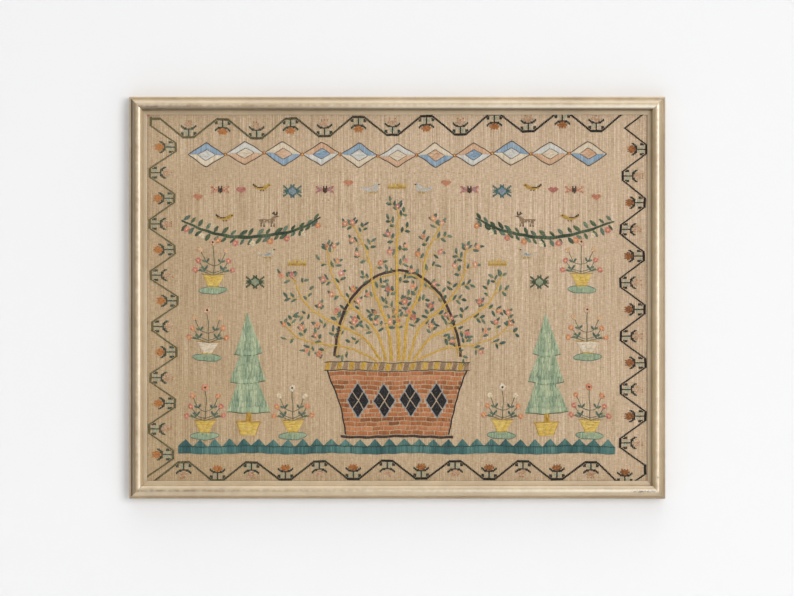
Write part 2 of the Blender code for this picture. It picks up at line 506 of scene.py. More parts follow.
def make_board_material():
    """Grey pulp board: flecked and faintly blotched."""
    material, tree, shader = new_tree("grey_board")
    place = object_place(tree)
    age = use_group(tree, AGEING, Place=place, Patch_Scale=9.0).outputs
    pulp = grain(tree, place, 1400.0, 5.0, roughness=0.7)
    flecked = ramp(tree, pulp, [(0.32, (132, 122, 106)), (0.5, (164, 154, 138)), (0.7, (188, 180, 164))])
    damp = ramp(tree, age["Fade"], [(0.0, (206, 196, 180)), (1.0, (250, 248, 244))])
    blotched = mixed(tree, "MULTIPLY", 0.6, flecked, damp)
    set_shader(
        tree,
        shader,
        Base_Color=laid_over(tree, blotched, (118, 98, 72), age["Grime"], 0.3),
        Roughness=0.9,
        Normal=bumped(tree, pulp, 0.0001, 0.5),
    )
    return material


# The moulding

# Marks on the gilding: middle across and up from the frame's middle, reach along and high, and its strength
MOULDING_MARKS = [
    # across, up, long, high, share
    (-209.5, 163.6, 8.5, 1.3, 0.75),
    (-203.0, 162.2, 6.0, 1.1, 0.5),
    (-214.0, 161.2, 3.6, 1.3, 0.45),
    (223.3, 161.0, 0.8, 1.0, 0.75),
    (223.2, 152.3, 0.9, 0.9, 0.7),
    (223.4, 112.0, 0.7, 0.6, 0.5),
    (223.2, -153.8, 1.2, 1.7, 0.9),
    (210.5, -165.9, 16.5, 1.5, 1.0),
]

RAIL_CUTS = 84
MITRE_LINE = 0.12

# Bands along a rail of painted shade, laid on as brown, and of painted highlight, laid on as pale, by the rail's
# turn: how far in from the outer edge, its reach, and its share at the rail's first end and at its last
SHADE_BANDS = {
    # middle, reach, first, last
    0: [(10.8, 2.1, 1.0, 1.0), (8.5, 1.8, 0.75, -0.6)],
    90: [(12.8, 1.7, 0.35, 0.35), (9.3, 1.0, 0.4, 0.4), (3.4, 1.1, 0.5, 0.5), (0.7, 1.2, 0.7, 0.7)],
    180: [(0.8, 1.1, 0.8, 0.8), (7.2, 1.6, -0.6, 0.75)],
    270: [(2.5, 2.2, 1.0, 1.0), (5.3, 2.6, 0.55, 0.55)],
}
HIGHLIGHT_BANDS = {
    # middle, reach, first, last
    0: [(8.7, 1.9, -0.35, 1.0)],
    90: [],
    180: [(7.2, 1.8, 0.95, -0.55)],
    270: [],
}
# How much more painted shade the low fillet takes, laid on as brown, and how much duller it is, by the rail's
# turn
FILLET_DULL_AND_SHADE = {0: 0.12, 90: 0.18, 180: 0.0, 270: 0.2}

# How far the hand left the face uneven, how far the rubbing reaches from the bead's top and from the rim's,
# the rim's share of it, and how dull the back is
HANDWORK = 0.07
BEAD_RUB = 2.4
RIM_RUB = 0.9
RIM_SHARE = 0.3
BACK_DULL = 0.3


def arc(middle, radius, start_deg, end_deg, steps):
    """Points of the section round a circle, from one angle to the other, both ends included."""
    points = []
    for step in range(steps + 1):
        angle = math.radians(start_deg + (end_deg - start_deg) * step / steps)
        points.append((middle[0] + radius * math.cos(angle), middle[1] + radius * math.sin(angle)))
    return points


def bowed(start, end, sag, steps):
    """Points of the section between two ends, bowed out to the left of the way, the ends left out."""
    way = Vector(end) - Vector(start)
    left = Vector((-way.y, way.x)).normalized()
    points = []
    for step in range(1, steps):
        share = step / steps
        point = Vector(start) + way * share + left * sag * 4 * share * (1 - share)
        points.append((point.x, point.y))
    return points


def moulding_section():
    """The moulding's outline as (inward, height): rim, quirk, swell, bead, scoop, low fillet and rebate."""
    bead_middle = (BEAD_INWARD, BEAD_HEIGHT)
    bead = arc(bead_middle, BEAD_RADIUS, BEAD_OUTER_DEG, BEAD_INNER_DEG, 14)
    swell_foot = (RIM_WIDTH + QUIRK_WIDTH, RIM_HEIGHT - QUIRK_DEPTH / 2)
    scoop_foot = (FILLET_INWARD, SCOOP_FOOT_HEIGHT)
    fillet_turn = (FACE_WIDTH - FILLET_ROUND, FILLET_HEIGHT - FILLET_FALL - FILLET_ROUND)
    outline = [(0.0, 0.0)]
    outline += arc((RIM_ROUND, RIM_HEIGHT - RIM_ROUND), RIM_ROUND, 180, 90, 6)
    outline += [(RIM_WIDTH - 0.15, RIM_HEIGHT), (RIM_WIDTH, RIM_HEIGHT - 0.05)]
    outline += [(RIM_WIDTH + QUIRK_WIDTH / 2, RIM_HEIGHT - QUIRK_DEPTH)]
    outline += [swell_foot] + bowed(swell_foot, bead[0], SWELL_SAG, 10)
    outline += bead
    outline += bowed(bead[-1], scoop_foot, -SCOOP_SAG, 8) + [scoop_foot]
    outline += [(FILLET_INWARD + FILLET_STEP, FILLET_HEIGHT)]
    outline += arc(fillet_turn, FILLET_ROUND, 90, 0, 5)
    outline += [(FACE_WIDTH, REBATE_HEIGHT), (BACK_WIDTH, REBATE_HEIGHT), (BACK_WIDTH, 0.0)]
    return outline


def nearness(value, middle, reach):
    return max(0.0, 1.0 - abs(value - middle) / reach)


def banded(bands, inward, ahead):
    """The share of a rail's bands at a place: so far in from its edge, and along it from 0 to 1."""
    total = 0.0
    for middle, reach, first, last in bands:
        total += max(0.0, first + (last - first) * ahead) * nearness(inward, middle, reach)
    return min(1.0, total)


def weather_rail(bm, length, turn_deg, setback):
    """Marks where a rail is rubbed, where it takes painted shade and painted highlight, and where it is duller,
    and unevens its face a little, as by hand.
    """
    ridge, hollow, painted_highlight = [bm.verts.layers.float.new(name) for name in ("ridge", "hollow", "painted_highlight")]
    seed = Vector((turn_deg, 7.0, 3.0))
    for vert in bm.verts:
        inward, height = -vert.co.z, -vert.co.y
        bead = nearness(inward, BEAD_INWARD, BEAD_RUB) if height > BEAD_HEIGHT else 0.0
        rim = nearness(inward, RIM_WIDTH / 2, RIM_RUB) * RIM_SHARE if height > RIM_HEIGHT - 0.4 else 0.0
        vert[ridge] = max(bead, rim)
        ahead = vert.co.x / length + 0.5
        # Painted shade in bands along the rail, laid on as brown
        banded_shade = banded(SHADE_BANDS[turn_deg], inward, ahead)
        # The low fillet takes more painted shade, and is duller, by the rail's turn
        if inward > FILLET_INWARD - 0.1:
            banded_shade = min(1.0, banded_shade + FILLET_DULL_AND_SHADE[turn_deg])
        on_face = height > REBATE_HEIGHT
        vert[hollow] = banded_shade if on_face else BACK_DULL
        # Painted highlight in bands along the rail, laid on as pale leaf
        vert[painted_highlight] = banded(HIGHLIGHT_BANDS[turn_deg], inward, ahead) if on_face else 0.0
        inside = abs(vert.co.x) < length / 2 - inward - setback - 0.5
        if inside and height > RIM_HEIGHT:
            sway = noise.noise(vert.co * 0.045 + seed) + 0.5 * noise.noise(vert.co * 0.16 + seed)
            vert.co.y += HANDWORK * sway


def make_rail(node, length, turn_deg, outward, material):
    """A length of moulding: its section run from mitre to mitre, and cut across often."""
    setback = MITRE_LINE / math.sqrt(2)
    bm = bmesh.new()
    ring = []
    for inward, height in moulding_section():
        half = length / 2 - inward - setback
        ring.append(bm.verts.new((-half, -height, -inward)))
    for vert in pull_copy(bm, [bm.faces.new(ring)]):
        vert.co.x = -vert.co.x
    long_edges = [edge for edge in bm.edges if edge.calc_length() > length / 2]
    bmesh.ops.subdivide_edges(bm, edges=long_edges, cuts=RAIL_CUTS, use_grid_fill=True)
    bmesh.ops.recalc_face_normals(bm, faces=bm.faces)
    weather_rail(bm, length, turn_deg, setback)
    turn = Matrix.Rotation(math.radians(turn_deg), 4, "Y")
    place = Matrix.Translation(MIDDLE + Vector(outward) * MM)
    bmesh.ops.transform(bm, matrix=place @ turn @ Matrix.Scale(MM, 4), verts=bm.verts)
    mesh = as_mesh(bm, "gilt_" + node, sharp_deg=32)
    rail = add_piece(mesh, "gilt_" + node, material)
    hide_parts(node)


def make_moulding():
    gilt = make_gilt_material()
    make_rail("rail_top", FRAME_WIDTH, 0, (0, 0, FRAME_HEIGHT / 2), gilt)
    make_rail("rail_right", FRAME_HEIGHT, 90, (FRAME_WIDTH / 2, 0, 0), gilt)
    make_rail("rail_bottom", FRAME_WIDTH, 180, (0, 0, -FRAME_HEIGHT / 2), gilt)
    make_rail("rail_left", FRAME_HEIGHT, 270, (-FRAME_WIDTH / 2, 0, 0), gilt)


# The ground

# Its grid, how far the stitches pucker it, and how much thinner it is made to keep its back clear
GROUND_COLUMNS = 220
GROUND_ROWS = 163
PUCKER = 0.04
BACK_CLEAR = 0.05

# The one orange spot: its middle across and up from the frame's middle, and its reach
ORANGE_SPOT = (-214.0, 157.0, 1.6)


def cloth_face(across_mm, up_mm):
    """How far the cloth's face is off the wall at places from the frame's middle, all in millimetres."""
    across = np.asarray(across_mm) / HELD_WIDTH + 0.5
    up = np.asarray(up_mm) / HELD_HEIGHT + 0.5
    rise = 0.0
    for cockle_across, cockle_up, reach_across, reach_up, share in COCKLES:
        aside = (across - cockle_across) / reach_across
        above = (up - cockle_up) / reach_up
        rise = rise + share * np.exp(-(aside**2) - above**2)
    from_rim = np.clip(np.sin(np.pi * across) * np.sin(np.pi * up), 0, 1)
    pucker = PUCKER * np.sin(across_mm * 0.9 + 2 * np.sin(up_mm * 0.13)) * np.sin(up_mm * 0.7)
    return CLOTH_BACK + GROUND_THICKNESS + CLOTH_RISE * rise * np.minimum(1, 2.2 * from_rim**1.5) + pucker


def make_ground():
    """The wool ground: one sheet, its face and back a thickness apart, cockled as the solid is."""
    bm = bmesh.new()
    bmesh.ops.create_grid(bm, x_segments=GROUND_COLUMNS, y_segments=GROUND_ROWS, size=0.5)
    flat = np.array([(v.co.x * HELD_WIDTH, v.co.y * HELD_HEIGHT) for v in bm.verts])
    heights = cloth_face(flat[:, 0], flat[:, 1])
    for vert, (across, up), height in zip(bm.verts, flat, heights):
        vert.co = (across, -height, up)
    back = pull_copy(bm, list(bm.faces))
    bmesh.ops.translate(bm, vec=Vector((0, GROUND_THICKNESS - BACK_CLEAR, 0)), verts=back)
    bmesh.ops.recalc_face_normals(bm, faces=bm.faces)
    bmesh.ops.transform(bm, matrix=Matrix.Translation(MIDDLE) @ Matrix.Scale(MM, 4), verts=bm.verts)
    mesh = as_mesh(bm, "wool_cloth", sharp_deg=40)
    ground = add_piece(mesh, "wool_cloth", make_ground_material())
    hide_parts("sampler_cloth")
    return ground


# Stitches: every one is a thread lying from one needle hole to the next

skeins = {name: [] for name in SILKS}

# Half a cross, in squares. Then, in millimetres: how much higher its second arm sits, how far the needle
# goes past an outline, the shortest thread in a satin row, and the length of a stem stitch
CROSS_HALF = 0.47
ARM_SIT = 0.16
NEEDLE_OVER = 0.12
SHORTEST_RUN = 0.35
STEM_STITCH = 2.6


def wandered(places):
    """Places as an unsteady hand would have them: nothing drawn by hand is quite straight or level."""
    x, z = places[:, 0], places[:, 1]
    across = 0.5 * np.sin(z * 0.11 + 1.3 * np.sin(x * 0.05)) + 0.22 * np.sin(z * 0.47 + x * 0.2)
    up = 0.55 * np.sin(x * 0.09 + 1.1 * np.sin(z * 0.06 + 2)) + 0.24 * np.sin(x * 0.41 - z * 0.23)
    return places + np.column_stack([across, up])


def lay(skein, starts, ends, width=THREAD_WIDTH, tone=0.5, spread=0.16, sit=0.0, shake=0.05, by_hand=True):
    """Lays threads from starts to ends, each a little off its place and with a tone of its own."""
    starts = np.atleast_2d(np.asarray(starts, float))
    ends = np.atleast_2d(np.asarray(ends, float))
    count = len(starts)
    if by_hand:
        starts, ends = wandered(starts), wandered(ends)
    starts = starts + chance.normal(0, shake, starts.shape)
    ends = ends + chance.normal(0, shake, ends.shape)
    widths = np.broadcast_to(width, count) * chance.uniform(0.86, 1.14, count)
    tones = np.clip(np.broadcast_to(tone, count) + chance.normal(0, spread, count), 0, 1)
    sits = np.broadcast_to(sit, count) + chance.uniform(-0.02, 0.02, count)
    skeins[skein].append(np.column_stack([starts, ends, widths, tones, sits]))


def work_crosses(skein, across, up, chart, tone=0.5, spread=0.16, width=THREAD_WIDTH):
    """Cross stitches at the given squares of a chart, the second arm over the first."""
    across = np.asarray(across, float)
    up = np.asarray(up, float)
    left, right = across - CROSS_HALF, across + CROSS_HALF
    low, high = up - CROSS_HALF, up + CROSS_HALF
    lay(skein, chart(left, low), chart(right, high), width, tone, spread, by_hand=False)
    lay(skein, chart(right, low), chart(left, high), width, tone, spread, ARM_SIT, by_hand=False)


def even_chart(across_mm, up_mm):
    """A chart of even squares with its middle at one place."""
    return lambda across, up: np.column_stack([across_mm + across * STITCH_WIDE, up_mm + up * STITCH_HIGH])


def work_chart(rows, key, across_mm, up_mm, mirror=False, flip=False):
    """Cross stitches from rows of letters, with the middle of their foot at a place."""
    if mirror:
        rows = [row + row[-2::-1] for row in rows]
    if flip:
        rows = [row[::-1] for row in rows]
    chart = even_chart(across_mm, up_mm)
    middle = (len(rows[0]) - 1) / 2
    for letter, skein in key.items():
        squares = [
            (column - middle, len(rows) - 1 - line)
            for line, row in enumerate(rows)
            for column, found in enumerate(row)
            if found == letter
        ]
        work_crosses(skein, *zip(*squares), chart)


def crossings(sides, row):
    """Where a row of thread meets an outline's sides, as pairs of places along the row."""
    hits = []
    for (a0, b0), (a1, b1) in sides:
        if (b0 <= row) != (b1 <= row):
            hits.append(a0 + (row - b0) / (b1 - b0) * (a1 - a0))
    hits.sort()
    return zip(hits[::2], hits[1::2])


def satin(skein, outline, lean_deg=90, reach=6.0, tone=0.5, spread=0.14, slope=None):
    """Fills an outline with threads side by side. Long runs are split into long and short stitches."""
    lean = math.radians(lean_deg)
    along = np.array([math.cos(lean), math.sin(lean)])
    beside = np.array([-along[1], along[0]])
    outline = np.asarray(outline, float)
    rim = np.column_stack([outline @ along, outline @ beside])
    sides = list(zip(rim, np.roll(rim, -1, axis=0)))
    starts, ends, tones = [], [], []
    row = rim[:, 1].min() + SATIN_PITCH / 2
    while row < rim[:, 1].max():
        for low, high in crossings(sides, row):
            if high - low < SHORTEST_RUN:
                continue
            pieces = max(1, math.ceil((high - low) / reach))
            cuts = np.linspace(low, high, pieces + 1)
            if pieces > 1:
                cuts[1:-1] += chance.uniform(-0.28, 0.28, pieces - 1) * (high - low) / pieces
            for first, last in zip(cuts, cuts[1:]):
                starts.append(along * (first - NEEDLE_OVER) + beside * row)
                ends.append(along * (last + NEEDLE_OVER) + beside * row)
                place = (starts[-1] + ends[-1]) / 2
                tones.append(tone + slope(*place) if slope else tone)
        row += SATIN_PITCH
    if starts:
        lay(skein, starts, ends, SATIN_PITCH * 1.2, np.array(tones), spread)


def smooth_path(points, step=0.4):
    """A curve through points, with a place about every step."""
    points = np.asarray(points, float)
    padded = np.vstack([2 * points[0] - points[1], points, 2 * points[-1] - points[-2]])
    path = []
    for before, start, end, after in zip(padded, padded[1:], padded[2:], padded[3:]):
        count = max(2, int(np.hypot(*(end - start)) / step))
        for share in np.arange(count) / count:
            place = 2 * start + (end - before) * share
            place += (2 * before - 5 * start + 4 * end - after) * share**2
            place += (3 * start - before - 3 * end + after) * share**3
            path.append(0.5 * place)
    path.append(points[-1])
    return np.array(path)


def run_along(path):
    """How far along its path each point is."""
    return np.concatenate([[0], np.cumsum(np.hypot(*np.diff(path, axis=0).T))])


def place_at(path, run, at):
    """Where a path is, so far along it. Past either end it is the end itself."""
    return np.column_stack([np.interp(at, run, path[:, 0]), np.interp(at, run, path[:, 1])])


def stem_line(skein, points, width=0.6, rows=1, taper=1.0, tone=0.5, closed=False, straight=False, sit=0.05):
    """Stem stitch along a line: slanting threads that overlap like a rope, in one row or several."""
    points = np.asarray(points, float)
    if closed:
        points = np.vstack([points, points[:1]])
    path = points if straight else smooth_path(points)
    run = run_along(path)
    count = max(1, int(run[-1] / (STEM_STITCH * 0.55)))
    marks = np.linspace(0, run[-1], count + 1)[:-1]
    step = run[-1] / count
    for number in range(rows):
        shift = (number - (rows - 1) / 2) * width * 0.86
        begins = np.clip(marks - step * 0.25, 0, run[-1])
        finishes = np.clip(marks + step * 1.45, 0, run[-1])
        places = []
        for at, side in ((begins, -NEEDLE_OVER), (finishes, NEEDLE_OVER)):
            way = place_at(path, run, at + 0.3) - place_at(path, run, at - 0.3)
            way /= np.maximum(np.hypot(*way.T), 1e-6)[:, None]
            left = np.column_stack([-way[:, 1], way[:, 0]])
            thin = 1 - (1 - taper) * at / run[-1]
            places.append(place_at(path, run, at) + left * ((shift * thin) + side * width)[:, None])
        lay(skein, *places, width, tone, 0.14, sit, shake=0.04)


def leaf(skein, across, up, angle_deg, length, width, tone=0.5):
    """A pointed leaf from its stalk, its satin threads slanting off the midrib."""
    turn = math.radians(angle_deg)
    way = np.array([math.cos(turn), math.sin(turn)])
    side = np.array([-way[1], way[0]])
    shares = np.linspace(0, 1, 8)[:, None]
    midrib = np.array([across, up]) + way * length * shares
    swell = side * (width / 2 * np.sin(np.pi * shares) ** 0.8)
    rim = np.vstack([midrib + swell, (midrib - swell)[-2:0:-1]])
    satin(skein, rim, angle_deg + 38, tone=tone)


def bloom(skein, heart, across, up, radius, petals=11, tone=0.5):
    """A round flower: threads fanned from its heart, and a few of another silk in the middle."""
    turns = np.arange(petals) * 2 * math.pi / petals + chance.uniform(0, 1)
    rays = np.column_stack([np.cos(turns), np.sin(turns)])
    middle = np.array([across, up])
    reach = radius * chance.uniform(0.85, 1.1, (petals, 1))
    lay(skein, middle + rays * radius * 0.22, middle + rays * reach, radius * 0.42, tone)
    few = rays[:: max(1, petals // 4)]
    lay(heart, middle - few * radius * 0.3, middle + few * radius * 0.3, radius * 0.26, tone, sit=0.18)


# The border: a zigzag vine with a bud in every bend

# The vine in squares: from one bend to the next, half the flat of a bend, and its rise between bends
VINE_BEND = 24
VINE_FLAT = 4
VINE_RISE = 16

# Where the tips of the pale buds are, in squares up. Then, in millimetres: how much lower than the rest the
# last bud along the foot hangs, and how far the vine runs on under the moulding's lip
TIPS_UP = 14
LAST_BUD_DROP = 3.2
UNDER_LIP = 1.5

BUD = [
    # squares up from the vine's flat, and the squares across that each silk takes there
    (13, "bloom", (-2, 0, 2)),
    (12, "bloom", (-2, -1, 0, 1, 2)),
    (11, "bloom", (-3, -2, -1, 0, 1, 2, 3)),
    (10, "bloom", (-3, -2, -1, 0, 1, 2, 3)),
    (9, "bloom", (-2, -1, 0, 1, 2)),
    (8, "bloom", (-1, 0, 1)),
    (10, "stalk", (-5, 5)),
    (9, "stalk", (-5, -4, 4, 5)),
    (8, "stalk", (-4, -3, -2, 2, 3, 4)),
    (7, "stalk", (-3, -2, -1, 0, 1, 2, 3)),
    (6, "stalk", (0,)),
    (5, "stalk", (0,)),
    (4, "stalk", (-5, -4, 0, 4, 5)),
    (3, "stalk", (-5, -4, 0, 4, 5)),
    (2, "stalk", (-4, 0, 4)),
    (1, "stalk", (0,)),
    (5, "sage", (-3, -2, -1, 1, 2, 3)),
    (4, "sage", (-2, -1, 1, 2)),
    (3, "sage", (-2, -1, 1, 2)),
    (2, "sage", (-3, -2, 2, 3)),
]

# Each side of the border: where its first bud and its last one stand, how far the vine rises there, how
# many buds it has, and whether the first is on the outer bend. Then the squares that it runs on at either
# end, and how: straight on under the moulding, as a bend, or with a sharp turn back.
BORDER_SIDES = [
    # name, first_bud, last_bud, first_rise, last_rise, buds, outer_first, before, its end, after, its end
    ("top", (-179.1, 137.6), (170.9, 143.6), (0, 15.9), (0, 15.9), 13, False, 27, "bend", 20, "straight"),
    ("bottom", (-183.4, -141), (195.4, -141), (0, -15.3), (0, -15), 14, False, 24, "straight", 5, "straight"),
    ("left", (-190.3, 129.4), (-192, -134.6), (-21.4, 0), (-21.4, 0), 13, False, 28, "bend", 26, "straight"),
    ("right", (194.2, 127.5), (190.7, -124.6), (19.4, 0), (21.6, 0), 12, True, 34, "turn", 34, "bend"),
]
TURN_AT = 19

# How far the vine strays outwards from its line, in millimetres, at seven even places along each side
STRAYS = {
    "top": (0.4, -1.9, -0.6, -0.9, -1.3, 0.2, -0.4),
    "bottom": (0.3, 0.4, -0.7, -1.0, -0.6, -0.3, 0.4),
    "left": (0.0, 0.8, 0.3, -2.5, -2.0, -0.7, 0.4),
    "right": (0.1, -0.6, -1.8, -0.5, 0.0, 0.8, 0.5),
}


def vine_tone(across, up):
    """Olive at the left, darkening to near black at the right, and a little darker towards the foot."""
    return np.clip(0.3 - 0.6 * across / 200 + 0.13 * up / 150, 0.12, 0.95)


def stalk_tone(across, up):
    return np.clip(0.35 - 0.3 * across / 200 + 0.1 * up / 150, 0.1, 0.8)


def bloom_tone(across, up):
    return np.clip(0.5 - 0.3 * across / 200 + 0.12 * up / 150, 0.15, 0.9)


def side_chart(name, first_bud, last_bud, first_rise, last_rise, buds):
    """Squares along one side of the border and across it, with the hand's slight wandering."""
    first_bud, last_bud = np.array(first_bud), np.array(last_bud)
    first_rise, last_rise = np.array(first_rise) / VINE_RISE, np.array(last_rise) / VINE_RISE
    run = VINE_BEND * (buds - 1)
    step = (last_bud - first_bud) / run

    def chart(along, over):
        along, over = np.asarray(along, float), np.asarray(over, float)
        rise = first_rise + (last_rise - first_rise) * (along / run)[:, None]
        place = first_bud + along[:, None] * step + over[:, None] * rise
        sway = np.interp(along / run, np.linspace(0, 1, 7), STRAYS[name])
        sway = sway + 0.2 * np.sin(along * 0.19 + first_bud[1])
        place = place + sway[:, None] * rise / np.hypot(*first_rise)
        if name == "bottom":
            # The last bud along the foot hangs lower than the rest
            place[:, 1] -= LAST_BUD_DROP * np.clip((along - run + 18) / 12, 0, 1)
        return place

    return chart


def vine_squares(buds, before, before_end, after, after_end):
    """Squares of the vine: along the side, which bend each belongs to, and how far it is from that bend."""
    run = VINE_BEND * (buds - 1)
    along = np.arange(-before, run + after + 1)
    bend = np.floor(along / VINE_BEND + 0.5).astype(int)
    bend = np.where((along < 0) & (before_end != "bend"), np.maximum(bend, 0), bend)
    bend = np.where((along > run) & (after_end != "bend"), np.minimum(bend, buds - 1), bend)
    off = np.maximum(0, np.abs(along - bend * VINE_BEND) - VINE_FLAT)
    if before_end == "turn":
        turned = along < -TURN_AT
        off = np.where(turned, 2 * (TURN_AT - VINE_FLAT) - off, off)
    return along, bend, off


def in_sight(places):
    """Which places can be seen, with a little over that runs on under the moulding's lip."""
    half = np.array([SIGHT_WIDTH, SIGHT_HEIGHT]) / 2 + UNDER_LIP
    return np.all(np.abs(places) < half, axis=1)


def work_seen(skein, along, over, chart, tone=0.5, width=THREAD_WIDTH, spread=0.1):
    """Cross stitches at those squares that are in sight. Their tone is a number, or goes by the place."""
    along, over = np.asarray(along, float), np.asarray(over, float)
    seen = in_sight(chart(along, over))
    along, over = along[seen], over[seen]
    if len(along):
        shade = tone(*chart(along, over).T) if callable(tone) else tone
        work_crosses(skein, along, over, chart, shade, spread, width)


def work_bud(chart, middle, outer, strong):
    """One bud on its stalk, with curling leaves. The pale ones have lost some of their stitches."""
    foot, way = (VINE_RISE, -1) if outer else (0, 1)
    for up, silk, squares in BUD:
        spots = middle + np.array(squares)
        if silk == "sage":
            spots = spots[chance.random(len(spots)) < 0.6]
        elif silk == "bloom" and not strong:
            spots = spots[chance.random(len(spots)) < 0.7]
        heights = np.full(len(spots), foot + way * up)
        if silk == "stalk":
            work_seen(silk, spots, heights, chart, stalk_tone, 0.6)
        elif silk == "sage":
            work_seen(silk, spots, heights, chart)
        elif strong:
            work_seen("orange", spots, heights, chart, bloom_tone, 0.56, 0.26)
        else:
            work_seen("faded_pink", spots, heights, chart, 0.5, 0.56, 0.26)
    if not strong:
        tips = np.array([-2, 0, 2])
        tips = middle + tips[chance.random(len(tips)) < 0.6]
        work_seen("orange", tips, np.full(len(tips), foot + way * TIPS_UP), chart, spread=0.2)


def work_border():
    for name, first_bud, last_bud, first_rise, last_rise, buds, outer_first, *ends in BORDER_SIDES:
        chart = side_chart(name, first_bud, last_bud, first_rise, last_rise, buds)
        along, bend, off = vine_squares(buds, *ends)
        outer = (bend % 2 == 0) == outer_first
        over = np.where(outer, VINE_RISE - off, off)
        apart = 0.5 if name in ("top", "bottom") else 0.3
        for row in (-apart, apart):
            work_seen("vine", along, over + row, chart, vine_tone, 0.68)
        for number in range(buds):
            bud_outer = (number % 2 == 0) == outer_first
            # The strong orange buds point inwards along three sides, and outwards on the left
            strong = bud_outer if name != "left" else not bud_outer
            work_bud(chart, number * VINE_BEND, bud_outer, strong)


# The middle: bands, a basket of flowers and small spot motifs, all of them common ones


def boxed(left, low, right, high):
    return [(left, low), (right, low), (right, high), (left, high)]


def flared(middle, low, half_low, high, half_high):
    """A shape with a level foot and top, each as wide as it is told."""
    return [
        (middle - half_low, low),
        (middle + half_low, low),
        (middle + half_high, high),
        (middle - half_high, high),
    ]


def lozenge(across, up, half_wide, half_high):
    return [
        (across - half_wide, up),
        (across, up - half_high),
        (across + half_wide, up),
        (across, up + half_high),
    ]


def oval(across, up, half_wide, half_high):
    turns = np.arange(20) * 2 * math.pi / 20
    return [(across + half_wide * math.cos(t), up + half_high * math.sin(t)) for t in turns]


def level(middle, half, up):
    return [(middle - half, up), (middle + half, up)]


# The toothed band along the foot
BAND_FOOT = -134.0
BAND_LINE = -127.6
BAND_HALF = 187.5
TOOTH_HIGH = 6.6
TOOTH_WIDE = 12.5


def teal_swell(across, _):
    return 0.18 * math.sin(across * 0.11) + 0.12 * math.sin(across * 0.53)


def work_foot_band():
    """The teal band along the foot, its upper edge cut in teeth, with a dark line between its two rows."""
    satin("teal", boxed(-BAND_HALF, BAND_FOOT, BAND_HALF, BAND_LINE), reach=9, tone=0.45, slope=teal_swell)
    for number in range(round(2 * BAND_HALF / TOOTH_WIDE)):
        left = -BAND_HALF + number * TOOTH_WIDE
        tip = (left + TOOTH_WIDE / 2, BAND_LINE + TOOTH_HIGH)
        satin("teal", [(left, BAND_LINE), (left + TOOTH_WIDE, BAND_LINE), tip], reach=9, slope=teal_swell)
    line = [(-BAND_HALF, BAND_LINE), (0, BAND_LINE + 0.3), (BAND_HALF, BAND_LINE)]
    stem_line("forest", line, 0.5, tone=0.1, sit=0.2)


# The basket: its body of courses, the dark panels on it, its plaited rim and its handle
BASKET_FOOT = -117.5
BASKET_RIM = -62.0
BASKET_FOOT_HALF = 43.0
BASKET_RIM_HALF = 59.0
COURSE_HIGH = 3.9
BRICK_LONG = 9.4
MORTAR = 0.75
PANELS = (-34.0, -11.4, 11.4, 34.0)
PANEL_UP = -88.0
PANEL_HALF_WIDE = 9.6
PANEL_HALF_HIGH = 15.0
PANEL_CLEAR = 1.2
PLAITS = 24
PLAIT_HIGH = 6.4
PLAIT_LEAN = 1.2
PLAIT_HALF = BASKET_RIM_HALF + 3.0
FOOT_HALF = BASKET_FOOT_HALF + 5.0
HANDLE_UP = BASKET_RIM + 7.5
HANDLE_HALF = 54.0
HANDLE_HIGH = 78.0


def basket_half(up):
    share = max(0.0, (up - BASKET_FOOT) / (BASKET_RIM - BASKET_FOOT))
    return BASKET_FOOT_HALF + (BASKET_RIM_HALF - BASKET_FOOT_HALF) * share**1.3


def off_panels(across, up):
    """Whether a place on the basket is clear of its dark panels."""
    high = abs(up - PANEL_UP) / (PANEL_HALF_HIGH + PANEL_CLEAR)
    return all(abs(across - middle) / (PANEL_HALF_WIDE + PANEL_CLEAR) + high >= 1 for middle in PANELS)


def work_courses():
    """The basket's body: courses of long bricks in turn, as in a wall, which leave the panels clear."""
    for course in range(int((BASKET_RIM - BASKET_FOOT) / COURSE_HIGH)):
        low = BASKET_FOOT + course * COURSE_HIGH
        high = low + COURSE_HIGH - MORTAR
        half = basket_half((low + high) / 2)
        left = -half - (course % 2) * BRICK_LONG / 2
        depth = 0.42 + 0.22 * math.sin(course * 1.7)
        while left < half:
            columns = np.arange(max(left, -half), min(left + BRICK_LONG - MORTAR, half), SATIN_PITCH)
            clear = [(x, 0.0) for x in columns if off_panels(x, (low + high) / 2)]
            if clear:
                tone = depth + chance.normal(0, 0.12)
                starts = np.array(clear) + (0, low - 0.1)
                ends = np.array(clear) + (0, high + 0.1)
                lay("terracotta", starts, ends, SATIN_PITCH * 1.2, tone, 0.12)
            left += BRICK_LONG


def work_panels():
    """Dark lozenges on the basket, each of four small ones, ringed in blue and crossed by pale lines."""
    for middle in PANELS:
        for aside, above in ((0, 0.5), (0, -0.5), (0.5, 0), (-0.5, 0)):
            across, up = middle + aside * PANEL_HALF_WIDE, PANEL_UP + above * PANEL_HALF_HIGH
            small = lozenge(across, up, PANEL_HALF_WIDE / 2 - 0.55, PANEL_HALF_HIGH / 2 - 0.85)
            satin("jet", small, reach=5)
        ring = lozenge(middle, PANEL_UP, PANEL_HALF_WIDE, PANEL_HALF_HIGH)
        stem_line("sky", ring, 0.5, closed=True, straight=True)
        for turn in (-1, 1):
            near = (middle + turn * PANEL_HALF_WIDE / 2, PANEL_UP + PANEL_HALF_HIGH / 2)
            far = (middle - turn * PANEL_HALF_WIDE / 2, PANEL_UP - PANEL_HALF_HIGH / 2)
            stem_line("mortar", [far, near], 0.42, straight=True)


